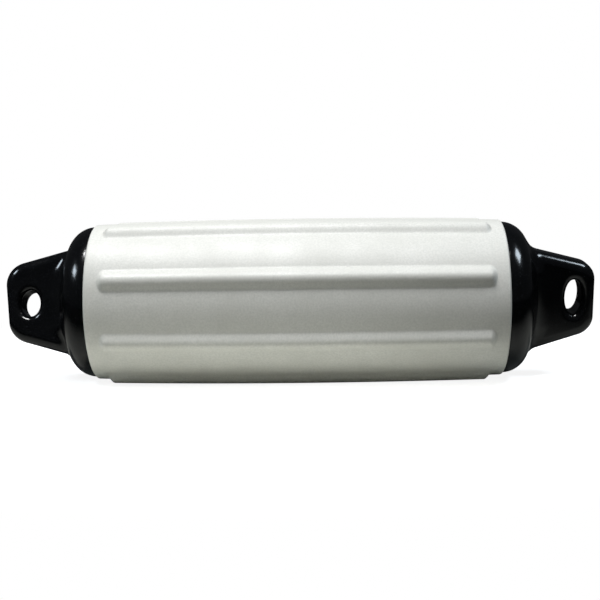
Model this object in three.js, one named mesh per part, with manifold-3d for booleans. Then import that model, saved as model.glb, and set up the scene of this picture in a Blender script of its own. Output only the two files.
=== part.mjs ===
// A ribbed boat fender with a rope eye at each end. Millimetres, +Z up.
// X runs along the fender, and Y runs through the rope eyes. The origin is in the middle of the
// whole length, on the fender's own axis.
import * as THREE from 'three';
import { mergeVertices } from 'three/addons/utils/BufferGeometryUtils.js';
import { LoftGeometry } from 'three/addons/geometries/LoftGeometry.js';
import Module from 'manifold-3d';

// White body: a barrel whose side is one long arc.
const bodyLength = 349;
const bodyRadius = 69.2;
const barrelDrop = 2.1;
const lipRound = 1.8;

// Ribs, spread evenly round the body, half a pitch away from the XY plane. A plain margin is left
// between each rib's foot and the body's end.
const ribCount = 8;
const ribMargin = 12.5;
const ribWidth = 19.5;
const ribHeight = 4.6;
const ribRamp = 6.5;
const ribFullness = 1.25;

// Lap joint: each black end tucks a spigot into the white skin, whose edge stands proud of it.
const skin = 3.5;
const lipStep = 1.8;
const spigotLength = 8;
const jointGap = 0.3;

// Black ends: a round shoulder, a slightly domed cap, and a flat tab with a flared rope eye. The
// dome's depth and the tab's length add up to an end's reach beyond the body.
const domeDepth = 22.2;
const shoulderRadius = 21.8;
const capRise = 3;
const tabLength = 57.8;
const tabThickness = 28;
const tabEdgeRound = 9;
const tabFaceFillet = 18;
const eyeFlare = 6;

// The two soft ends came out of the mould a little different in their tabs, eyes and twist. The
// twist is in degrees, and a positive one turns the front face up.
const leftEnd = {
  twist: 14,
  neckWidth: 93,
  tipWidth: 60.5,
  neckDrop: 0.5,
  neckFillet: 5,
  tipSlant: 0.09,
  tipCorner: 20,
  eyeFromTip: 22.5,
  eyeWidth: 16.5,
  eyeHeight: 22.3,
  eyeRise: -1.8,
};
const rightEnd = {
  twist: -6,
  neckWidth: 91,
  tipWidth: 57.5,
  neckDrop: 1.6,
  neckFillet: 9,
  tipSlant: 0,
  tipCorner: 17,
  eyeFromTip: 18.4,
  eyeWidth: 14.3,
  eyeHeight: 30,
  eyeRise: 1.6,
};

// Inflation valve: a rubber needle valve in a boss on the back of the left shoulder.
const valveRadius = 4.5;
const valveDepth = 12;
const valveFlangeRadius = 6.5;
const valveFlangeThickness = 1.6;
const valveFlangeProud = 0.5;
const needleRadius = 0.7;
const needleDepth = 9;
const bossRadius = 10;
const bossProud = 1.2;
const bossChamfer = 1;
const valveGap = 0.3;

// Facets.
const ribSteps = 7;
const gapSteps = 4;
const barrelSteps = 10;
const rampSteps = 4;
const latheSteps = 72;
const shoulderSteps = 9;
const capSteps = 3;
const edgeSteps = 4;
const cornerSteps = 6;
const faceFilletSteps = 6;
const sideFilletSteps = 4;
const eyeSteps = 32;
const flareSteps = 4;
const valveSteps = 32;
const lipSteps = 3;
const closestSections = 0.05;
const closestVertices = 1e-4;
const roundShare = 0.98;

// Colours, roughness and metalness of each material.
const whiteVinyl = { color: 0xdcdcd8, roughness: 0.4, metalness: 0 };
const blackVinyl = { color: 0x0b0d0f, roughness: 0.22, metalness: 0 };
const valveRubber = { color: 0x1c1c1c, roughness: 0.6, metalness: 0 };

const wasm = await Module();
wasm.setup();

// A closed geometry as a solid: shared vertices merged, and triangles without area left out.
function toSolid(geometry) {
  const plain = new THREE.BufferGeometry().copy(geometry);
  plain.deleteAttribute('normal');
  plain.deleteAttribute('uv');
  const merged = mergeVertices(plain, closestVertices);
  const index = merged.index.array;
  const corners = [];
  for (let i = 0; i < index.length; i += 3) {
    const [a, b, c] = [index[i], index[i + 1], index[i + 2]];
    if (a !== b && b !== c && c !== a) corners.push(a, b, c);
  }
  return new wasm.Manifold(new wasm.Mesh({
    numProp: 3,
    vertProperties: Float32Array.from(merged.attributes.position.array),
    triVerts: Uint32Array.from(corners),
  }));
}

function toGeometry(solid) {
  const mesh = solid.getMesh();
  const geometry = new THREE.BufferGeometry();
  geometry.setAttribute('position', new THREE.BufferAttribute(mesh.vertProperties, 3));
  geometry.setIndex(new THREE.BufferAttribute(mesh.triVerts, 1));
  geometry.computeVertexNormals();
  return geometry;
}

// Evenly spaced values from a to b, both ends included.
function spread(a, b, steps) {
  return Array.from({ length: steps + 1 }, (_, i) => a + (b - a) * i / steps);
}

// A profile of [distance along X, radius] pairs, turned about the X axis.
function turned(profile, steps) {
  const points = profile.map(([x, radius]) => new THREE.Vector2(radius, x));
  return new THREE.LatheGeometry(points, steps).rotateZ(-Math.PI / 2);
}

// White body.

// The barrel's radius at x: a long arc that loses barrelDrop from the middle to the lip.
function barrelRadius(x) {
  const reach = bodyLength / 2;
  const arcRadius = (reach * reach + barrelDrop * barrelDrop) / (2 * barrelDrop);
  return bodyRadius - arcRadius + Math.sqrt(arcRadius * arcRadius - x * x);
}

// The last few millimetres of the barrel turn in by a quarter round.
function lipInset(x) {
  const into = Math.max(0, Math.abs(x) - (bodyLength / 2 - lipRound));
  return lipRound - Math.sqrt(Math.max(0, lipRound * lipRound - into * into));
}

// Where a rib's end ramp starts.
function rampStart() {
  return bodyLength / 2 - ribMargin - ribRamp;
}

// A rib's height over the barrel: a smooth ridge across, with a short round ramp at each end.
function ribRise(x, across) {
  const along = Math.max(0, Math.abs(x) - rampStart()) / ribRamp;
  const outward = Math.min(1, Math.hypot(along, across));
  return ribHeight * (1 - outward * outward) ** ribFullness;
}

function bodySection(x) {
  const radius = barrelRadius(x) - lipInset(x);
  const pitch = 2 * Math.PI / ribCount;
  const ribAngle = ribWidth / bodyRadius;
  const points = [];
  for (let rib = 0; rib < ribCount; rib++) {
    const middle = (rib + 0.5) * pitch;
    for (let step = 0; step < ribSteps + gapSteps; step++) {
      const across = Math.min(1, 2 * step / ribSteps - 1);
      const inGap = Math.max(0, step - ribSteps) / gapSteps;
      const angle = middle + across * ribAngle / 2 + inGap * (pitch - ribAngle);
      const r = radius + ribRise(x, across);
      points.push(new THREE.Vector3(x, r * Math.cos(angle), r * Math.sin(angle)));
    }
  }
  return points;
}

function fenderBody() {
  const half = spread(0, rampStart(), barrelSteps / 2);
  half.push(...spread(0, Math.PI / 2, rampSteps).slice(1).map((a) => (
    rampStart() + ribRamp * Math.sin(a))));
  half.push(...spread(0, Math.PI / 2, lipSteps).map((a) => (
    bodyLength / 2 - lipRound + lipRound * Math.sin(a))));
  const stations = [...half.slice(1).reverse().map((x) => -x), ...half];
  const shell = toSolid(new LoftGeometry(stations.map(bodySection), { capStart: true, capEnd: true }));
  const floor = bodyLength / 2 - spigotLength - jointGap;
  const mouth = bodyLength / 2 + jointGap;
  const wall = spigotRadius() + jointGap;
  const socket = [[floor, 0], [floor, wall], [mouth, wall], [mouth, 0]];
  const right = toSolid(turned(socket, latheSteps));
  const left = toSolid(turned(socket, latheSteps).rotateZ(Math.PI));
  return shell.subtract(right).subtract(left);
}

// Black ends, built pointing along +X with x = 0 at the body's end face.

function lipRadius() {
  return barrelRadius(bodyLength / 2);
}

function jointRadius() {
  return lipRadius() - lipStep;
}

function spigotRadius() {
  return lipRadius() - lipRound - skin;
}

function shoulder() {
  const radius = Math.min(shoulderRadius, domeDepth - jointGap);
  return { radius, x: domeDepth - radius, r: jointRadius() - radius };
}

// Where the dome's surface lies at a distance from the axis.
function domeSurface(distance) {
  const { radius, x, r } = shoulder();
  const over = distance - r;
  if (over > 0) return x + Math.sqrt(Math.max(0, radius ** 2 - over ** 2));
  return domeDepth + capRise * (1 - (distance / r) ** 2);
}

function dome() {
  const { radius, x, r } = shoulder();
  const arc = spread(Math.PI / 2, 0, shoulderSteps).map((a) => (
    [x + radius * Math.cos(a), r + radius * Math.sin(a)]));
  const cap = spread(r, 0, capSteps).slice(1).map((distance) => [domeSurface(distance), distance]);
  const spigot = [[-spigotLength, 0], [-spigotLength, spigotRadius()], [jointGap, spigotRadius()]];
  return toSolid(turned([...spigot, [jointGap, jointRadius()], ...arc, ...cap], latheSteps));
}

// What a concave fillet adds to a half-size near its foot.
function flareAt(x, foot, fillet) {
  const s = THREE.MathUtils.clamp((foot + fillet - x) / fillet, 0, 1);
  return fillet * (1 - Math.sqrt(1 - s * s));
}

// How far a convex round of the given radius has come in at x, before an edge at the tip.
function roundAt(x, tip, radius) {
  const s = THREE.MathUtils.clamp((x - (tip - radius)) / radius, 0, 1);
  return radius * (1 - Math.sqrt(1 - s * s));
}

// Where the tab's fillets stand on the dome: the one on its faces, and the one on its sides.
function filletFeet(end) {
  return {
    face: domeSurface(tabThickness / 2 + tabFaceFillet),
    side: domeSurface(end.neckWidth / 2 + end.neckFillet),
  };
}

// One section across the tab: a rectangle with round edges, which grow round the face fillet.
// The neck sits a little low on the dome, and a slanted tip leans back below.
function tabSection(end, x) {
  const tip = domeDepth + tabLength;
  const along = (x - domeDepth) / tabLength;
  const lean = end.tipSlant * Math.max(0, along) ** 2;
  const foremost = end.tipWidth / 2 - end.tipCorner;
  const low = end.neckDrop * (1 - along);
  const straight = THREE.MathUtils.lerp(end.neckWidth, end.tipWidth, along) / 2;
  const feet = filletFeet(end);
  const faceFlare = flareAt(x, feet.face, tabFaceFillet);
  const width = straight + flareAt(x, feet.side, end.neckFillet) - roundAt(x, tip, end.tipCorner);
  const depth = tabThickness / 2 + faceFlare - roundAt(x, tip, tabEdgeRound);
  const edge = Math.min(tabEdgeRound + faceFlare, depth * roundShare, width * roundShare);
  const points = [];
  for (let corner = 0; corner < 4; corner++) {
    const sideY = corner === 0 || corner === 3 ? 1 : -1;
    const sideZ = corner < 2 ? 1 : -1;
    for (const turn of spread(0, Math.PI / 2, edgeSteps)) {
      const angle = corner * Math.PI / 2 + turn;
      const y = sideY * (depth - edge) + edge * Math.cos(angle);
      const z = sideZ * (width - edge) + edge * Math.sin(angle);
      points.push(new THREE.Vector3(x + lean * (z - foremost), y, z - low));
    }
  }
  return points;
}

function tab(end) {
  const tip = domeDepth + tabLength;
  const feet = filletFeet(end);
  const hollows = [
    ...spread(0, Math.PI / 2, faceFilletSteps).map((a) => feet.face + tabFaceFillet * (1 - Math.cos(a))),
    ...spread(0, Math.PI / 2, sideFilletSteps).map((a) => feet.side + end.neckFillet * (1 - Math.cos(a))),
  ];
  const corners = spread(0, Math.PI / 2, cornerSteps).map((a) => (
    tip - end.tipCorner + end.tipCorner * Math.sin(a)));
  const root = domeDepth - shoulderRadius / 2;
  const stations = [root, ...hollows, ...corners].sort((a, b) => a - b);
  const apart = stations.filter((x, i) => i === 0 || x - stations[i - 1] > closestSections);
  return toSolid(new LoftGeometry(apart.map((x) => tabSection(end, x)), { capStart: true, capEnd: true }));
}

// The rope eye: an oval bore whose rim opens by a quarter round on both faces.
function eye(end) {
  const x = domeDepth + tabLength - end.eyeFromTip;
  const face = tabThickness / 2;
  const depths = spread(0, Math.PI / 2, flareSteps).map((a) => face - eyeFlare + eyeFlare * Math.sin(a));
  depths.push(face + 1);
  const stations = [...depths.map((y) => -y).reverse(), ...depths];
  const sections = stations.map((y) => {
    const open = flareAt(Math.abs(y), -face, eyeFlare) + roundAt(Math.abs(y), face, eyeFlare);
    return spread(0, 2 * Math.PI, eyeSteps).slice(0, -1).map((a) => new THREE.Vector3(
      x + (end.eyeWidth / 2 + open) * Math.sin(a),
      y,
      end.eyeRise + (end.eyeHeight / 2 + open) * Math.cos(a),
    ));
  });
  return toSolid(new LoftGeometry(sections, { capStart: true, capEnd: true }));
}

function endMoulding(end) {
  return dome().add(tab(end)).subtract(eye(end));
}

// Valve, built along +X with x = 0 on the shoulder's surface.

function valveBoss() {
  const top = bossProud;
  const profile = [[-bossRadius, 0], [-bossRadius, bossRadius], [top - bossChamfer, bossRadius],
    [top, bossRadius - bossChamfer], [top, 0]];
  return toSolid(turned(profile, valveSteps));
}

function valvePocket() {
  const seat = bossProud + valveFlangeProud - valveFlangeThickness - valveGap;
  const bottom = seat - valveDepth - valveGap;
  const bore = valveRadius + valveGap;
  const counterbore = valveFlangeRadius + valveGap;
  const mouth = bossProud + bossRadius;
  const profile = [[bottom, 0], [bottom, bore], [seat, bore], [seat, counterbore],
    [mouth, counterbore], [mouth, 0]];
  return toSolid(turned(profile, valveSteps));
}

function valveBody() {
  const top = bossProud + valveFlangeProud;
  const seat = top - valveFlangeThickness;
  const profile = [[seat - valveDepth, 0], [seat - valveDepth, valveRadius], [seat, valveRadius],
    [seat, valveFlangeRadius], [top - valveFlangeProud, valveFlangeRadius],
    [top, valveFlangeRadius - valveFlangeProud], [top, needleRadius * 2],
    [top - needleRadius, needleRadius], [top - needleDepth, needleRadius], [top - needleDepth, 0]];
  return toSolid(turned(profile, valveSteps));
}

// Where the valve sits on the left end: half way round the shoulder, on the back.
function placeValve(object) {
  const { radius, x, r } = shoulder();
  const slope = Math.PI / 4;
  object.position.set(x + radius * Math.cos(slope), -(r + radius * Math.sin(slope)), 0);
  object.rotation.z = -slope;
  object.updateMatrix();
  return object;
}

function placed(solid) {
  const matrix = placeValve(new THREE.Object3D()).matrix;
  return toSolid(toGeometry(solid).applyMatrix4(matrix));
}

function meshOf(name, solid, material) {
  const mesh = new THREE.Mesh(toGeometry(solid), new THREE.MeshStandardMaterial(material));
  mesh.name = name;
  return mesh;
}

const body = meshOf('fender_body', fenderBody(), whiteVinyl);

const leftMoulding = endMoulding(leftEnd).add(placed(valveBoss())).subtract(placed(valvePocket()));
const left = new THREE.Group();
left.position.x = -bodyLength / 2;
left.rotation.set(-THREE.MathUtils.degToRad(leftEnd.twist), 0, Math.PI);
left.add(meshOf('left_end', leftMoulding, blackVinyl));
left.add(placeValve(meshOf('needle_valve', valveBody(), valveRubber)));

const right = new THREE.Group();
right.position.x = bodyLength / 2;
right.rotation.x = -THREE.MathUtils.degToRad(rightEnd.twist);
right.add(meshOf('right_end', endMoulding(rightEnd), blackVinyl));

const fender = new THREE.Group();
fender.add(body, left, right);

export default fender;
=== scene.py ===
# %% [markdown]
# # A ribbed boat fender with two rope eyes
# The fender is a sealed vinyl skin blown up with air: a white ribbed barrel between two black
# ends, each moulded with a thick flat tab and an oval rope eye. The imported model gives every
# place and size; this script gives the fine surfaces, the finishes, the light and the camera.

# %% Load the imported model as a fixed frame
import math

import bmesh
import bpy
import numpy as np
from mathutils import Euler, Matrix, Vector


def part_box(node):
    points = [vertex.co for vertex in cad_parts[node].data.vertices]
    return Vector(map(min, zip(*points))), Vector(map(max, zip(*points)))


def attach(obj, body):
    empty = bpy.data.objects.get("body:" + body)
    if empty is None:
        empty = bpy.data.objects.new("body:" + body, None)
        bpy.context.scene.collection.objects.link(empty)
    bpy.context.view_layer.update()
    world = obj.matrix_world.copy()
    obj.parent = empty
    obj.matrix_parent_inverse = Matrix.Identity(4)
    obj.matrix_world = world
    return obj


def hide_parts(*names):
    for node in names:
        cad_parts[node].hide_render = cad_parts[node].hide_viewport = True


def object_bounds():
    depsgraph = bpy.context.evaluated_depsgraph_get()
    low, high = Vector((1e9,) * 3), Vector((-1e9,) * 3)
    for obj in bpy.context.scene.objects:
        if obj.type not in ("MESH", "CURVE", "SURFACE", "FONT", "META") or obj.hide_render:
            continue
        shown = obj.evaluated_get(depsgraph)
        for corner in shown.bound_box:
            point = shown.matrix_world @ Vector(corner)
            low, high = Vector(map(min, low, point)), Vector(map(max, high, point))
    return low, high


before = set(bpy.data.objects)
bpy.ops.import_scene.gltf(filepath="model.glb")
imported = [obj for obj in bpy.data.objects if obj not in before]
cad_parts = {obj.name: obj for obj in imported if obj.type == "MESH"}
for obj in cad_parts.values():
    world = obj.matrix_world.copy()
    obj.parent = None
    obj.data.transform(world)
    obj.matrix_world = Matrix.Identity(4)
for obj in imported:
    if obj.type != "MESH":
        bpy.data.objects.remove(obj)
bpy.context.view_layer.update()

MM = 0.001

# %% [markdown]
# ## Sizes taken from the frame
# The white body's own box gives its length, its radius and where it stands along X. Each end's
# box gives how far that end reaches. The remaining sizes are those of the moulding itself, such
# as the rib's height or the shoulder's radius, in millimetres.

# %% Sizes of the body, the ribs and the lap joint
body_low, body_high = (np.array(corner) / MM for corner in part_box("fender_body"))
left_low = np.array(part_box("left_end")[0]) / MM
right_high = np.array(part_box("right_end")[1]) / MM
body_length = body_high[0] - body_low[0]
body_middle = (body_high[0] + body_low[0]) / 2
body_radius = body_high[2]
barrel_drop = 2.1
lip_round = 1.8
rib_count = 8
rib_margin = 10.8
rib_length = body_length - 2 * rib_margin
rib_width = 19.5
rib_height = 4.6
rib_ramp = 6.0
rib_fullness = 1.65
skin = 3.5
lip_step = 1.8
spigot_length = 8.0
joint_gap = 0.3
print(f"body {body_length:.1f} mm long, {2 * body_radius:.1f} mm across, middle at {body_middle:.2f}")

# %% Sizes of the black ends
dome_depth = 22.2
shoulder_radius = 21.8
cap_rise = 3.0
tab_half_thickness = 14.0
tab_edge_round = 9.0
tab_face_fillet = 18.0
fillet_from, fillet_span = 0.24, 0.24
eye_flare = 6.0
left_end = {
    "reach": body_low[0] - left_low[0], "twist": 14, "neck_width": 93.0, "tip_width": 60.5,
    "neck_drop": 0.5, "neck_fillet": 5.0, "tip_slant": 0.09, "tip_corner": 20.0,
    "eye_from_tip": 22.5, "eye_width": 16.5, "eye_height": 22.3, "eye_rise": -1.8,
}
right_end = {
    "reach": right_high[0] - body_high[0], "twist": -6, "neck_width": 91.0, "tip_width": 57.5,
    "neck_drop": 1.6, "neck_fillet": 9.0, "tip_slant": 0.0, "tip_corner": 17.0,
    "eye_from_tip": 18.4, "eye_width": 14.3, "eye_height": 30.0, "eye_rise": 1.6,
}
print(f"left end reaches {left_end['reach']:.1f} mm, right end {right_end['reach']:.1f} mm")

# %% [markdown]
# ## From a grid of points to a mesh
# Every surface below is a grid: a numpy array of points with rows and columns. One helper lists
# the grid's quads, and one joins a piece's grids into a mesh, welds the points that meet, and
# turns the faces outwards. The piece then rides on the only body and stands for its solid.

# %% Grid and mesh helpers
def grid_quads(rows, columns, wraps):
    """Corner numbers of the quads between neighbouring rows and columns of a grid."""
    across = columns if wraps else columns - 1
    row, column = np.meshgrid(np.arange(rows - 1), np.arange(across), indexing="ij")
    after = (column + 1) % columns
    corners = (row * columns + column, row * columns + after,
               (row + 1) * columns + after, (row + 1) * columns + column)
    return np.stack(corners, axis=-1).reshape(-1, 4)


def mesh_from_grids(name, grids, weld=0.004):
    """Join grids of points (in mm) that wrap round their columns into one welded mesh."""
    points, quads, start = [], [], 0
    for grid in grids:
        rows, columns = grid.shape[:2]
        quads.append(grid_quads(rows, columns, True) + start)
        points.append(grid.reshape(-1, 3))
        start += rows * columns
    mesh = bpy.data.meshes.new(name)
    mesh.from_pydata((np.vstack(points) * MM).tolist(), [], np.vstack(quads).tolist())
    work = bmesh.new()
    work.from_mesh(mesh)
    bmesh.ops.remove_doubles(work, verts=work.verts, dist=weld * MM)
    bmesh.ops.recalc_face_normals(work, faces=work.faces)
    open_edges = sum(1 for edge in work.edges if not edge.is_manifold)
    work.to_mesh(mesh)
    work.free()
    mesh.shade_smooth()
    print(f"{name}: {len(mesh.vertices)} points, {len(mesh.polygons)} faces, {open_edges} open edges")
    return mesh


def add_piece(name, mesh, node):
    """Put a mesh into the scene as the piece that stands for a solid."""
    piece = bpy.data.objects.new(name, mesh)
    bpy.context.scene.collection.objects.link(piece)
    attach(piece, "root")
    if node:
        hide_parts(node)
    return piece


def eased(value):
    """A smooth step: 3 v^2 - 2 v^3, flat at both ends."""
    held = np.clip(value, 0, 1)
    return held * held * (3 - 2 * held)

# %% [markdown]
# ## The white body
# The body is blown or cast in a closed mould, so its barrel, its eight ribs and its rolled lip
# are one skin. It could be a cylinder with eight more meshes on it, but the ribs would then meet
# it in hard lines. Here the radius is one formula of the place along X and the angle round it:
# a long arc, plus each rib's ridge, less the lip's round.

# %% The barrel's radius, the lip and the ribs
def barrel_radius(x):
    """A long circular arc that loses barrel_drop from the middle to the lip."""
    reach = body_length / 2
    arc = (reach ** 2 + barrel_drop ** 2) / (2 * barrel_drop)
    return body_radius - arc + np.sqrt(arc ** 2 - x ** 2)


def lip_inset(x):
    """A quarter round over the last lip_round millimetres of each end."""
    into = np.maximum(0, np.abs(x) - (body_length / 2 - lip_round))
    return lip_round - np.sqrt(np.maximum(0, lip_round ** 2 - into ** 2))


def rib_rise(x, angle):
    """Rib height times (1 - d^2) to a power, d being 1 at the rib's foot and its round ends."""
    pitch = 2 * np.pi / rib_count
    off_middle = (angle / pitch) % 1 - 0.5
    across = off_middle * pitch * body_radius / (rib_width / 2)
    along = np.maximum(0, np.abs(x) - (rib_length / 2 - rib_ramp)) / rib_ramp
    outward = np.minimum(1, np.hypot(across, along))
    return rib_height * (1 - outward ** 2) ** rib_fullness

# %% The body's grid: a profile from pole to pole, turned round X
body_columns = 400
ramp_start = rib_length / 2 - rib_ramp
quarter = np.linspace(0, np.pi / 2, 17)
half_stations = np.concatenate([
    np.linspace(0, ramp_start, 32)[:-1],
    ramp_start + rib_ramp * np.sin(quarter),
    np.linspace(rib_length / 2, body_length / 2 - lip_round, 6)[1:],
    body_length / 2 - lip_round + lip_round * np.sin(quarter[2::2]),
])
stations = np.concatenate([-half_stations[:0:-1], half_stations])
lip_radius = float(barrel_radius(body_length / 2))
spigot_radius = lip_radius - lip_round - skin
socket_wall = spigot_radius + joint_gap
socket_floor = body_length / 2 - spigot_length - joint_gap
angles = np.linspace(0, 2 * np.pi, body_columns, endpoint=False)


def turned(x, radius, angle):
    """Points at distance x along the axis and at a radius and an angle round it."""
    x, radius, angle = np.broadcast_arrays(x, radius, angle)
    return np.stack([x, -radius * np.cos(angle), radius * np.sin(angle)], axis=-1)


outer = turned(
    stations[:, None],
    (barrel_radius(stations) - lip_inset(stations))[:, None] + rib_rise(stations[:, None], angles),
    angles,
)
socket_x = np.array([body_length / 2, body_length / 2, socket_floor, socket_floor])
socket_r = np.array([lip_radius - lip_round, socket_wall, socket_wall, 0])
right_socket = turned(socket_x[:, None], socket_r[:, None], angles)
left_socket = turned(-socket_x[:, None], socket_r[:, None], angles)
body_grids = [grid + [body_middle, 0, 0] for grid in (outer, right_socket, left_socket)]
body_piece = add_piece("ribbed_body", mesh_from_grids("ribbed_body", body_grids),
                       "fender_body")

# %% [markdown]
# ## The black ends
# An end is one soft moulding: a round shoulder, a low cap, and a thick tab that grows out of the
# cap through a fillet and opens into a flared rope eye. Joining separate meshes would need
# bevels on curved seams. Instead the whole end is one distance formula, which is negative inside
# the vinyl. Rounding the corners and filleting the hollows are then sums and roots. A grid is
# laid roughly over the shape, and every point slides onto the surface where the distance is zero.

# %% Distances to the parts of an end, in mm, with x from the body's end face
joint_radius = lip_radius - lip_step


def round_corner(a, b, radius):
    """The part inside both a and b, with the edge between them rounded to a radius."""
    over_a, over_b = a + radius, b + radius
    outside = np.hypot(np.maximum(over_a, 0), np.maximum(over_b, 0))
    return outside + np.minimum(np.maximum(over_a, over_b), 0) - radius


def fillet_hollow(a, b, radius):
    """The part inside a or b, with the hollow between them filled to a radius."""
    near = np.hypot(np.maximum(radius - a, 0), np.maximum(radius - b, 0))
    return np.maximum(radius, np.minimum(a, b)) - near


def dome_distance(points):
    """A cylinder's end, rounded by the shoulder and crowned by the low cap."""
    from_axis = np.hypot(points[..., 1], points[..., 2])
    inner = joint_radius - shoulder_radius
    crown = cap_rise * np.clip(1 - (from_axis / inner) ** 2, 0, 1)
    return round_corner(points[..., 0] - crown - dome_depth, from_axis - joint_radius,
                        shoulder_radius)


def side_lean(end):
    """How much each side of the tab comes in per mm of reach."""
    return (end["neck_width"] - end["tip_width"]) / 2 / (end["reach"] - dome_depth)


def outline_distance(end, x, z):
    """The tab seen from the front: two leaning sides and a tip, with rounded corners."""
    z = z + end["neck_drop"] * (1 - (x - dome_depth) / (end["reach"] - dome_depth))
    lean = side_lean(end)
    side = (np.abs(z) - end["neck_width"] / 2 + lean * (x - dome_depth)) / math.hypot(1, lean)
    foremost = end["tip_width"] / 2 - end["tip_corner"] * (math.hypot(1, lean) - lean)
    slant = end["tip_slant"]
    tip = (x - end["reach"] - slant * (z - foremost)) / math.hypot(1, slant)
    cosine = (lean - slant * np.sign(z)) / math.hypot(1, lean) / math.hypot(1, slant)
    a, b = side + end["tip_corner"], tip + end["tip_corner"]
    in_corner = (a > b * cosine) & (b > a * cosine)
    spread = np.sqrt(np.maximum(0, a * a + b * b - 2 * a * b * cosine) / (1 - cosine ** 2))
    return np.where(in_corner, spread, np.maximum(a, b)) - end["tip_corner"]


def eye_distance(end, x, z):
    """An oval, as its level less one over the steepness of that level."""
    half_width, half_height = end["eye_width"] / 2, end["eye_height"] / 2
    across = (x - end["reach"] + end["eye_from_tip"]) / half_width
    up = (z - end["eye_rise"]) / half_height
    level = np.hypot(across, up) + 1e-9
    steepness = np.hypot(across / half_width, up / half_height) / level
    return (level - 1) / np.maximum(steepness, 1e-6)


def end_distance(end, points):
    """The dome and the tab with its eye, filleted where they meet, less so towards the sides."""
    x, y, z = points[..., 0], points[..., 1], points[..., 2]
    face = np.abs(y) - tab_half_thickness
    slab = round_corner(outline_distance(end, x, z), face, tab_edge_round)
    ring = round_corner(-eye_distance(end, x, z), face, eye_flare)
    to_side = eased((np.abs(z) / end["neck_width"] - fillet_from) / fillet_span)
    fillet = tab_face_fillet + (end["neck_fillet"] - tab_face_fillet) * to_side
    return fillet_hollow(dome_distance(points), np.maximum(slab, ring), fillet)


def settle(end, points, rounds=14, step=0.01, least_steep=0.2, longest_move=2.0):
    """Slide each point by its distance over the slope's square, until the distance is zero."""
    for _ in range(rounds):
        slope = np.stack([
            (end_distance(end, points + shift) - end_distance(end, points - shift)) / (2 * step)
            for shift in step * np.eye(3)
        ], axis=-1)
        steep = np.maximum((slope ** 2).sum(axis=-1), least_steep)
        move = np.clip(end_distance(end, points) / steep, -longest_move, longest_move)
        points = points - move[..., None] * slope
    return points

# %% [markdown]
# ## Laying the grid
# The first grid starts as a circle at the joint, runs over the shoulder and the cap, and ends as
# a ring round the tab's neck. The second starts half way through the eye, rolls over its rim,
# crosses the face and ends at the tab's outline or at the neck ring; its mirror image makes the
# back. The two share the ring's points, so the mesh closes when its points are welded.

# %% Base grids of an end
ring_columns = 96
outline_columns = 150
blend_columns = 12
over_rows, neck_rows = 44, 14
bore_rows, flare_rows, face_rows, edge_rows = 7, 12, 24, 15
neck_offset = 15.0
farthest_edge = 90.0


def even_along(loop, count):
    """Points at equal steps along a closed line."""
    closed = np.vstack([loop, loop[:1]])
    run = np.concatenate([[0], np.cumsum(np.linalg.norm(np.diff(closed, axis=0), axis=1))])
    at = np.linspace(0, run[-1], count, endpoint=False)
    return np.stack([np.interp(at, run, closed[:, k]) for k in range(closed.shape[1])], axis=-1)


def neck_ring(end):
    """The tab's section at the neck as (y, z), from the top over the front to the bottom and back."""
    half_width = end["neck_width"] / 2 - side_lean(end) * neck_offset
    turn = np.linspace(0, np.pi / 2, 30)
    flat_y, flat_z = tab_half_thickness - tab_edge_round, half_width - tab_edge_round
    front_top = np.stack([-flat_y - tab_edge_round * np.sin(turn),
                          flat_z + tab_edge_round * np.cos(turn)], axis=-1)
    front = np.vstack([front_top, front_top[::-1] * [1, -1]])
    loop = np.vstack([[[0, half_width]], front, [[0, -half_width]], front[::-1] * [-1, 1]])
    return even_along(loop, 2 * ring_columns)


def shoulder_grid(end, ring):
    """From the joint's circle over the shoulder and cap to the neck ring, one path per column."""
    count = 2 * ring_columns
    circle_turn = np.arange(count) * 2 * np.pi / count
    ring_turn = np.unwrap(np.arctan2(-ring[:, 0], ring[:, 1]))
    ring_turn = ring_turn - np.round(ring_turn[0] / (2 * np.pi)) * 2 * np.pi
    inner = joint_radius - shoulder_radius
    from_axis = np.hypot(ring[:, 0], ring[:, 1])
    joined = from_axis + 0.5 * end["neck_fillet"]
    last_angle = np.arcsin(np.clip((joined - inner) / shoulder_radius, 0, 1))
    arc_run = shoulder_radius * (np.pi / 2 - last_angle)
    cap_run = np.maximum(0, inner - joined)
    share = np.linspace(0, 1, over_rows)[:, None]
    run = share * (arc_run + cap_run)
    arc_angle = np.pi / 2 - np.minimum(run, arc_run) / shoulder_radius
    radius = inner + shoulder_radius * np.sin(arc_angle) - np.maximum(0, run - arc_run)
    x = dome_depth - shoulder_radius + shoulder_radius * np.cos(arc_angle)
    turn = circle_turn + (ring_turn - circle_turn) * eased(share)
    over = np.stack([x, -radius * np.sin(turn), radius * np.cos(turn)], axis=-1)
    start = np.stack([np.full(count, joint_gap), -joint_radius * np.sin(circle_turn),
                      joint_radius * np.cos(circle_turn)], axis=-1)
    goal = np.stack([np.full(count, dome_depth + neck_offset), ring[:, 0], ring[:, 1]], axis=-1)
    way = np.linspace(0, 1, neck_rows)[1:, None, None]
    along_neck = over[-1] + (goal - over[-1]) * way
    return np.concatenate([start[None], over, along_neck])


def outline_ray(end, heading):
    """How far the tab's outline is from the eye's centre, by halving the interval 60 times."""
    centre = end["reach"] - end["eye_from_tip"]
    near, far = np.zeros_like(heading), np.full_like(heading, farthest_edge)
    for _ in range(60):
        middle = (near + far) / 2
        inside = outline_distance(end, centre + middle * np.cos(heading),
                                  end["eye_rise"] + middle * np.sin(heading)) < 0
        near, far = np.where(inside, middle, near), np.where(inside, far, middle)
    return near


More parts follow.
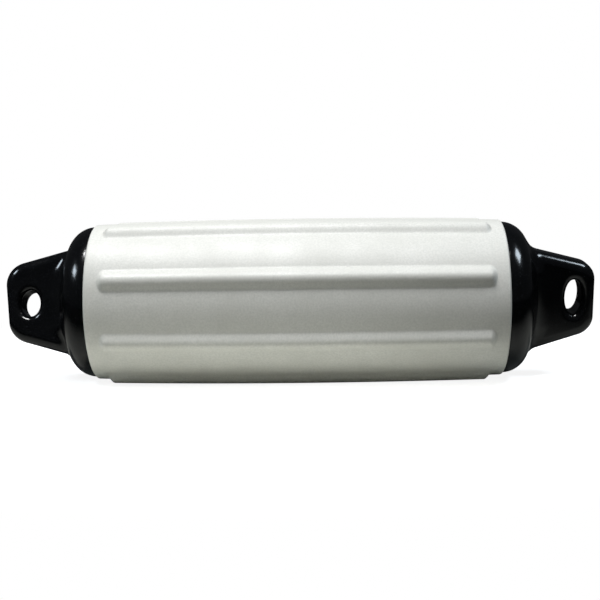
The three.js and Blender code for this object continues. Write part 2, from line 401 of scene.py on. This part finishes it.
def face_grid(end, ring):
    """From the middle of the eye's bore over its rim and across the front face to the outline."""
    centre = np.array([end["reach"] - end["eye_from_tip"], end["eye_rise"]])
    neck_x = dome_depth + neck_offset
    front = ring[:ring_columns + 1]
    foot = math.atan2(front[-1, 1] - centre[1], neck_x - centre[0]) % (2 * np.pi)
    last = (math.atan2(front[0, 1] - centre[1], neck_x - centre[0]) % (2 * np.pi)) + 2 * np.pi
    headings = np.linspace(foot, last, outline_columns + 1)[1:-1]
    length = outline_ray(end, headings)
    plan = np.vstack([
        np.stack([np.full(len(front), neck_x), front[:, 1]], axis=-1),
        centre + length[:, None] * np.stack([np.cos(headings), np.sin(headings)], axis=-1),
    ])
    edge_y = np.concatenate([front[:, 0], np.zeros(len(headings))])
    away = np.unwrap(np.arctan2(plan[:, 1] - centre[1], plan[:, 0] - centre[0]))
    column = np.arange(len(plan))
    even = away[0] + column * 2 * np.pi / len(plan)
    inner = 0.6 * away + 0.4 * even
    toward = np.stack([np.cos(inner), np.sin(inner)], axis=-1)
    oval = 0.5 / np.hypot(toward[:, 0] / end["eye_width"], toward[:, 1] / end["eye_height"])
    bore = centre + oval[:, None] * toward
    # The flare and the edge's round shrink where the face between them has run out of room.
    over_flat = np.abs(front[:, 1]) - np.abs(front[:, 1]).max() + tab_edge_round
    edge_round = np.full(len(plan), tab_edge_round)
    edge_round[:len(front)] = np.clip(over_flat, 0.15 * tab_edge_round, tab_edge_round)
    room = np.linalg.norm(plan - bore, axis=1)[:, None]
    across = (plan - bore) / room
    shrink = np.minimum(1, room / (eye_flare + edge_round[:, None]))
    rim = bore + eye_flare * shrink * across
    inset = plan - edge_round[:, None] * shrink * across
    flat_y = -tab_half_thickness
    bore_y = flat_y + eye_flare

    def row(plan_at, y_at):
        y_full = np.broadcast_to(y_at, (len(plan),))
        return np.stack([plan_at[:, 0], y_full, plan_at[:, 1]], axis=-1)

    rows = [row(bore, bore_y * share) for share in np.linspace(0, 1, bore_rows)]
    for turn in np.linspace(0, np.pi / 2, flare_rows)[1:]:
        rows.append(row(bore + (rim - bore) * (1 - math.cos(turn)),
                        bore_y + (flat_y - bore_y) * math.sin(turn)))
    for share in np.linspace(0, 1, face_rows)[1:]:
        rows.append(row(rim + (inset - rim) * share, flat_y))
    # Near the neck ring the rows go forwards in even steps, so that no quad folds over.
    past_ring = np.minimum(column - ring_columns, len(plan) - column)
    near_ring = np.clip(1 - past_ring / blend_columns, 0, 1)
    for share in np.linspace(0, 1, edge_rows)[1:]:
        turn = share * np.pi / 2
        climb = np.full(plan.shape, math.sin(turn))
        climb[:, 0] += near_ring * (share - math.sin(turn))
        rows.append(row(inset + (plan - inset) * climb,
                        edge_y + (flat_y - edge_y) * math.cos(turn)))
    return np.stack(rows)


def spigot_grid():
    """The step at the joint and the spigot that tucks into the body, down to the axis."""
    turn = np.arange(2 * ring_columns) * np.pi / ring_columns
    x = np.array([joint_gap, joint_gap, -spigot_length, -spigot_length])[:, None]
    radius = np.array([joint_radius, spigot_radius, spigot_radius, 0])[:, None]
    x, radius, turn = np.broadcast_arrays(x, radius, turn)
    return np.stack([x, -radius * np.sin(turn), radius * np.cos(turn)], axis=-1)


def end_grids(end):
    """All the grids of one end, settled on its surface, pointing along +X from x = 0."""
    ring = neck_ring(end)
    face = settle(end, face_grid(end, ring))
    shoulder = settle(end, shoulder_grid(end, ring))
    return [face, face * [1, -1, 1], shoulder, spigot_grid()]

# %% Place both ends on the body
half_turn = np.array([[-1, 0, 0], [0, -1, 0], [0, 0, 1]])


def twisted(end):
    """The turn about X that tips an end's front face up by its twist."""
    return np.array(Matrix.Rotation(-math.radians(end["twist"]), 3, "X"))


left_turn = twisted(left_end) @ half_turn
left_grids = [grid @ left_turn.T + [body_low[0], 0, 0] for grid in end_grids(left_end)]
right_grids = [grid @ twisted(right_end).T + [body_high[0], 0, 0] for grid in end_grids(right_end)]
left_piece = add_piece("left_rope_end", mesh_from_grids("left_rope_end", left_grids),
                       "left_end")
right_piece = add_piece("right_rope_end", mesh_from_grids("right_rope_end", right_grids),
                        "right_end")

# %% [markdown]
# ## The inflation valve
# A fender is blown up through a soft rubber valve that a ball needle pushes through. It sits in
# a moulded boss on the back of the left shoulder. Both are turned shapes, so each is a profile
# carried round the valve's own axis, which leans 45 degrees out from the fender's.

# %% Valve sizes and its place on the shoulder
valve_flange = 6.5
valve_proud = 0.5
boss_radius = 10.0
boss_proud = 1.2
needle_radius = 0.7
valve_slope = math.radians(45)
inner_radius = joint_radius - shoulder_radius
valve_spot = np.array([
    dome_depth - shoulder_radius + shoulder_radius * math.cos(valve_slope),
    -(inner_radius + shoulder_radius * math.sin(valve_slope)), 0])
lean_over = np.array(Matrix.Rotation(-valve_slope, 3, "Z"))


def on_shoulder(profile, count=64):
    """Turn a profile of (height, radius) rows round the valve's axis and set it on the shoulder."""
    height, radius = np.array(profile, dtype=float).T
    turn = np.linspace(0, 2 * np.pi, count, endpoint=False)
    local = turned(height[:, None], radius[:, None], turn)
    placed = local @ lean_over.T + valve_spot
    return placed @ left_turn.T + [body_low[0], 0, 0]


def arc_rows(height, radius, size, first, last, count=6):
    """Rows of (height, radius) along an arc round a centre, angles in degrees from the axis."""
    turn = np.radians(np.linspace(first, last, count))
    return list(zip(height + size * np.cos(turn), radius + size * np.sin(turn)))


# The boss starts deep in the shoulder, spreads at its foot, and is hollow for the valve's flange.
boss_edge = 1.0
seat_edge = 0.3
boss_foot = [(-6, 0), (-6, boss_radius + 1.5), (-2.4, boss_radius + 1.2), (-0.9, boss_radius + 0.35)]
boss_profile = boss_foot + arc_rows(boss_proud - boss_edge, boss_radius - boss_edge, boss_edge, 90, 0)
boss_profile += arc_rows(boss_proud - seat_edge, valve_flange + 2 * seat_edge, seat_edge, 0, -90)
boss_profile += [(-0.2, valve_flange + seat_edge), (-0.2, 0)]
boss_piece = add_piece("valve_boss", mesh_from_grids("valve_boss", [on_shoulder(boss_profile)]),
                       None)
# The valve's top is dished round its middle, where the needle's hole goes down.
top = boss_proud + valve_proud
valve_edge = 0.6
valve_profile = [(-0.1, 0), (-0.1, valve_flange)]
valve_profile += arc_rows(top - valve_edge, valve_flange - valve_edge, valve_edge, 90, 0)
valve_profile += [(top, 2.6), (top - 0.35, 2.0), (top - 0.35, 1.4)]
valve_profile += [(top - 0.5, needle_radius), (0.1, needle_radius * 0.8), (0.1, 0)]
valve_piece = add_piece("rubber_needle_valve",
                        mesh_from_grids("rubber_needle_valve", [on_shoulder(valve_profile)]),
                        "needle_valve")

# %% [markdown]
# ## Materials
# Three soft plastics. The white is plasticised PVC, called marine vinyl, cast against a mould
# with a fine grain: it has a soft gloss, an orange-peel skin and a faint grey bloom from
# handling. The black is the same vinyl, polished by a smooth mould, so it mirrors the lamps with
# only slight waves. The valve is matt rubber. Colours are written as sRGB and turned to linear.

# %% Colour and node helpers
def linear(hex_colour):
    """sRGB hex to linear: c / 12.92 below 0.04045, else ((c + 0.055) / 1.055) ^ 2.4."""
    channels = [int(hex_colour[i:i + 2], 16) / 255 for i in (1, 3, 5)]
    curve = [c / 12.92 if c <= 0.04045 else ((c + 0.055) / 1.055) ** 2.4 for c in channels]
    return (*curve, 1.0)


def add_node(material, kind, settings=None, inputs=None):
    """Add a node, set its properties, and set or link its inputs."""
    tree = material.node_tree
    node = tree.nodes.new(kind)
    for key, value in (settings or {}).items():
        setattr(node, key, value)
    for key, value in (inputs or {}).items():
        if isinstance(value, bpy.types.NodeSocket):
            tree.links.new(value, node.inputs[key])
        else:
            node.inputs[key].default_value = value
    return node


def new_material(name):
    """A material with an empty node tree and an output."""
    material = bpy.data.materials.new(name)
    material.use_nodes = True
    material.node_tree.nodes.clear()
    return material


def dress(piece, material):
    """Give a piece one material."""
    piece.data.materials.clear()
    piece.data.materials.append(material)


def per_metre(millimetres):
    """Noise scale for a feature of a given size: one feature length per unit."""
    return 1 / (millimetres * MM)

# %% White marine vinyl
PVC_IOR = 1.53
white = new_material("white_marine_vinyl")
place = add_node(white, "ShaderNodeTexCoord").outputs["Object"]
bloom = add_node(white, "ShaderNodeTexNoise", None,
                 {"Vector": place, "Scale": per_metre(45), "Detail": 3.0, "Roughness": 0.6})
speck = add_node(white, "ShaderNodeTexNoise", None,
                 {"Vector": place, "Scale": per_metre(1.6), "Detail": 2.0, "Roughness": 0.5})
bloom_ramp = add_node(white, "ShaderNodeMapRange", None,
                      {"Value": bloom.outputs["Fac"], "From Min": 0.35, "From Max": 0.7})
tint = add_node(white, "ShaderNodeMix", {"data_type": "RGBA"}, {
    "Factor": bloom_ramp.outputs["Result"], 6: linear("#E7E6E0"), 7: linear("#DDDCD5")})
speck_ramp = add_node(white, "ShaderNodeMapRange", None, {
    "Value": speck.outputs["Fac"], "From Min": 0.3, "From Max": 0.7, "To Min": 0.0, "To Max": 0.65})
coloured = add_node(white, "ShaderNodeMix", {"data_type": "RGBA"}, {
    "Factor": speck_ramp.outputs["Result"], 6: tint.outputs[2], 7: linear("#D0D0C9")})
gloss = add_node(white, "ShaderNodeMapRange", None, {
    "Value": bloom.outputs["Fac"], "From Min": 0.3, "From Max": 0.7, "To Min": 0.42, "To Max": 0.54})
peel = add_node(white, "ShaderNodeTexNoise", None,
                {"Vector": place, "Scale": per_metre(2.2), "Detail": 3.0, "Roughness": 0.55})
skin_bump = add_node(white, "ShaderNodeBump", None, {
    "Height": peel.outputs["Fac"], "Strength": 0.28, "Distance": 0.35 * MM})
white_shader = add_node(white, "ShaderNodeBsdfPrincipled", None, {
    "Base Color": coloured.outputs[2], "Roughness": gloss.outputs["Result"], "IOR": PVC_IOR,
    "Normal": skin_bump.outputs["Normal"]})
add_node(white, "ShaderNodeOutputMaterial", None, {"Surface": white_shader.outputs["BSDF"]})
dress(body_piece, white)
print(f"{white.name}: {len(white.node_tree.nodes)} nodes")

# %% Black marine vinyl
black = new_material("black_marine_vinyl")
place = add_node(black, "ShaderNodeTexCoord").outputs["Object"]
waves = add_node(black, "ShaderNodeTexNoise", None,
                 {"Vector": place, "Scale": per_metre(14), "Detail": 2.0, "Roughness": 0.5})
grain = add_node(black, "ShaderNodeTexNoise", None,
                 {"Vector": place, "Scale": per_metre(1.4), "Detail": 3.0, "Roughness": 0.6})
dust = add_node(black, "ShaderNodeTexNoise", None,
                {"Vector": place, "Scale": per_metre(22), "Detail": 4.0, "Roughness": 0.65})
worn = add_node(black, "ShaderNodeMapRange", None, {
    "Value": dust.outputs["Fac"], "From Min": 0.4, "From Max": 0.75, "To Min": 0.13, "To Max": 0.22})
tone = add_node(black, "ShaderNodeMix", {"data_type": "RGBA"}, {
    "Factor": dust.outputs["Fac"], 6: linear("#040506"), 7: linear("#0A0B0D")})
lint = add_node(black, "ShaderNodeTexNoise", None,
                {"Vector": place, "Scale": per_metre(1.1), "Detail": 1.0, "Roughness": 0.5})
lint_spots = add_node(black, "ShaderNodeMapRange", None, {
    "Value": lint.outputs["Fac"], "From Min": 0.65, "From Max": 0.78, "To Min": 0.0, "To Max": 0.5})
shade = add_node(black, "ShaderNodeMix", {"data_type": "RGBA"}, {
    "Factor": lint_spots.outputs["Result"], 6: tone.outputs[2], 7: linear("#34373C")})
height = add_node(black, "ShaderNodeMath", {"operation": "MULTIPLY_ADD"}, {
    0: waves.outputs["Fac"], 1: 3.0, 2: grain.outputs["Fac"]})
black_bump = add_node(black, "ShaderNodeBump", None, {
    "Height": height.outputs["Value"], "Strength": 0.08, "Distance": 0.3 * MM})
black_shader = add_node(black, "ShaderNodeBsdfPrincipled", None, {
    "Base Color": shade.outputs[2], "Roughness": worn.outputs["Result"], "IOR": PVC_IOR,
    "Normal": black_bump.outputs["Normal"]})
add_node(black, "ShaderNodeOutputMaterial", None, {"Surface": black_shader.outputs["BSDF"]})
for piece in (left_piece, right_piece, boss_piece):
    dress(piece, black)
print(f"{black.name}: {len(black.node_tree.nodes)} nodes")

# %% Matt valve rubber
RUBBER_IOR = 1.52
rubber = new_material("matt_valve_rubber")
place = add_node(rubber, "ShaderNodeTexCoord").outputs["Object"]
pores = add_node(rubber, "ShaderNodeTexNoise", None,
                 {"Vector": place, "Scale": per_metre(0.8), "Detail": 3.0, "Roughness": 0.6})
rubber_tone = add_node(rubber, "ShaderNodeMix", {"data_type": "RGBA"}, {
    "Factor": pores.outputs["Fac"], 6: linear("#161616"), 7: linear("#2A2A2A")})
rubber_bump = add_node(rubber, "ShaderNodeBump", None, {
    "Height": pores.outputs["Fac"], "Strength": 0.3, "Distance": 0.1 * MM})
rubber_shader = add_node(rubber, "ShaderNodeBsdfPrincipled", None, {
    "Base Color": rubber_tone.outputs[2], "Roughness": 0.7, "IOR": RUBBER_IOR,
    "Normal": rubber_bump.outputs["Normal"]})
add_node(rubber, "ShaderNodeOutputMaterial", None, {"Surface": rubber_shader.outputs["BSDF"]})
dress(valve_piece, rubber)
print(f"{rubber.name}: {len(rubber.node_tree.nodes)} nodes")

# %% [markdown]
# ## Floor and background
# The fender lies on a plain pale floor that runs on into a white background. The camera sees both
# as white, apart from the fender's faint shadow. The light that the floor gives back comes from a
# bright patch only a little larger than the fender, and the floor is dark further out. So the
# underside is filled with warm light, while the upright faces of the tabs stay black.

# %% Floor
floor_half = 6.0
floor_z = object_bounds()[0][2]
floor_mesh = bpy.data.meshes.new("floor")
floor_mesh.from_pydata([(-floor_half, -floor_half, floor_z), (floor_half, -floor_half, floor_z),
                        (floor_half, floor_half, floor_z), (-floor_half, floor_half, floor_z)],
                       [], [(0, 1, 2, 3)])
floor = bpy.data.objects.new("floor", floor_mesh)
bpy.context.scene.collection.objects.link(floor)
paper = new_material("pale_paper")
ray = add_node(paper, "ShaderNodeLightPath")
spot = add_node(paper, "ShaderNodeTexCoord").outputs["Object"]


def far_share(scale, near, far, shift=(0.0, 0.0, 0.0)):
    """A smooth step of how far a place on the floor is: 0 nearer than near, 1 beyond far."""
    scaled = add_node(paper, "ShaderNodeMapping", None, {
        "Vector": spot, "Location": shift, "Scale": scale})
    length = add_node(paper, "ShaderNodeVectorMath", {"operation": "LENGTH"}, {
        0: scaled.outputs["Vector"]})
    step = add_node(paper, "ShaderNodeMapRange", {"interpolation_type": "SMOOTHSTEP"}, {
        "Value": length.outputs["Value"], "From Min": near, "From Max": far})
    return step.outputs["Result"]


def paper_tone(share, near_colour, far_colour):
    """A plain matt surface that goes from one colour near the fender to another far off."""
    tone = add_node(paper, "ShaderNodeMix", {"data_type": "RGBA"}, {
        "Factor": share, 6: linear(near_colour), 7: linear(far_colour)})
    return add_node(paper, "ShaderNodeBsdfDiffuse", None, {"Color": tone.outputs[2]})


# What the camera sees: matt paper with a glow that leaves the shadow faint, then plain white.
lit = add_node(paper, "ShaderNodeBsdfDiffuse", None, {"Color": linear("#F4F4F4")})
glow = add_node(paper, "ShaderNodeEmission", None, {"Color": (1, 1, 1, 1), "Strength": 0.88})
near = add_node(paper, "ShaderNodeAddShader", None, {0: lit.outputs[0], 1: glow.outputs[0]})
sheet = add_node(paper, "ShaderNodeEmission", None, {"Color": (1, 1, 1, 1), "Strength": 1.0})
seen = add_node(paper, "ShaderNodeMixShader", None, {
    0: far_share((1.0, 1.6, 0.0), 0.25, 0.6), 1: near.outputs[0], 2: sheet.outputs[0]})

# What lights the fender, and what its gloss mirrors: a patch that is longer along X than across.
bounce_share = far_share((0.55, 1.0, 0.0), 0.11, 0.3, shift=(0.06, 0.0, 0.0))
bounce = paper_tone(bounce_share, "#EBEBE2", "#303030")
mirrored = paper_tone(far_share((0.3, 1.0, 0.0), 0.07, 0.18), "#A4A49E", "#141414")
other = add_node(paper, "ShaderNodeMixShader", None, {
    0: ray.outputs["Is Glossy Ray"], 1: bounce.outputs[0], 2: mirrored.outputs[0]})
mixed = add_node(paper, "ShaderNodeMixShader", None, {
    0: ray.outputs["Is Camera Ray"], 1: other.outputs[0], 2: seen.outputs[0]})
add_node(paper, "ShaderNodeOutputMaterial", None, {"Surface": mixed.outputs[0]})
dress(floor, paper)
print(f"floor at z = {floor_z:.4f} m, {2 * floor_half:.0f} m wide, {len(paper.node_tree.nodes)} nodes")

# %% World: white to the camera, nearly dark to everything else
world = bpy.data.worlds.new("studio")
bpy.context.scene.world = world
world.use_nodes = True
world.node_tree.nodes.clear()
world_ray = add_node(world, "ShaderNodeLightPath")
ambient = add_node(world, "ShaderNodeBackground", None, {"Color": linear("#DDE2EA"), "Strength": 0.04})
backdrop = add_node(world, "ShaderNodeBackground", None, {"Color": (1, 1, 1, 1), "Strength": 1.0})
world_mix = add_node(world, "ShaderNodeMixShader", None, {
    0: world_ray.outputs["Is Camera Ray"], 1: ambient.outputs[0], 2: backdrop.outputs[0]})
add_node(world, "ShaderNodeOutputWorld", None, {"Surface": world_mix.outputs[0]})
print(f"{world.name}: ambient strength {ambient.inputs['Strength'].default_value:.2f}")

# %% [markdown]
# ## Lamps
# A broad soft light hangs almost straight above, so each rib is bright on top and dark below. A
# smaller, cooler light stands high up on each side. The highlight on a black shoulder gives its
# direction: the surface there faces half way between the light and the camera.

# %% Soft boxes
def soft_box(name, place_at, aim, size, power, colour="#FFFFFF"):
    """A rectangular area lamp at a point, turned to face another, sizes and places in metres."""
    data = bpy.data.lights.new(name, "AREA")
    data.shape = "RECTANGLE"
    data.size, data.size_y = size
    data.energy = power
    data.color = linear(colour)[:3]
    lamp = bpy.data.objects.new(name, data)
    bpy.context.scene.collection.objects.link(lamp)
    lamp.location = place_at
    lamp.rotation_euler = (Vector(aim) - Vector(place_at)).to_track_quat("-Z", "Y").to_euler()
    print(f"{name}: {size[0]} by {size[1]} m, {power} W")
    return lamp


cool_white = "#E5F3FF"
soft_box("top_soft_box", (-0.18, -0.25, 1.22), (-0.02, 0, 0), (0.75, 0.22), 16.6)
soft_box("left_soft_box", (-1.05, -0.33, 0.77), (-0.2, 0, 0), (0.32, 0.2), 3.2, cool_white)
soft_box("right_soft_box", (0.92, -0.13, 0.95), (0.2, 0, 0), (0.32, 0.32), 4.6, cool_white)

# %% [markdown]
# ## Camera
# The ribs' places in the photograph give a view 8 degrees above level. The joint lines bulge by
# different amounts at the two ends, which gives the distance and shows that the camera stood a
# little to the right of the middle. The picture is also turned by nearly a degree.

# %% Camera
frame_pixels = 600
focal_pixels = 1100.0
mm_per_pixel = 0.872
view_rise = math.radians(8.0)
view_turn = math.radians(1.4)
picture_roll = math.radians(0.9)
centre_pixel = (298.3, 299.35)
distance = focal_pixels * mm_per_pixel * MM
off_x = (frame_pixels / 2 - centre_pixel[0]) * mm_per_pixel * MM
off_z = (centre_pixel[1] - frame_pixels / 2) * mm_per_pixel * MM
aim = Vector((off_x, 0, off_z))
camera_data = bpy.data.cameras.new("photo_view")
camera_data.sensor_width = 36
camera_data.lens = focal_pixels / frame_pixels * camera_data.sensor_width
camera = bpy.data.objects.new("photo_view", camera_data)
bpy.context.scene.collection.objects.link(camera)
sideways = Matrix.Rotation(view_turn, 3, "Z")
camera.location = aim + sideways @ Vector((0, -math.cos(view_rise), math.sin(view_rise))) * distance
upright = Euler((math.pi / 2 - view_rise, 0, 0)).to_matrix()
camera.rotation_euler = (sideways @ upright @ Matrix.Rotation(-picture_roll, 3, "Z")).to_euler()
bpy.context.scene.camera = camera
bpy.context.scene.view_settings.view_transform = "Standard"
print(f"camera {distance:.3f} m away, lens {camera_data.lens:.1f} mm")
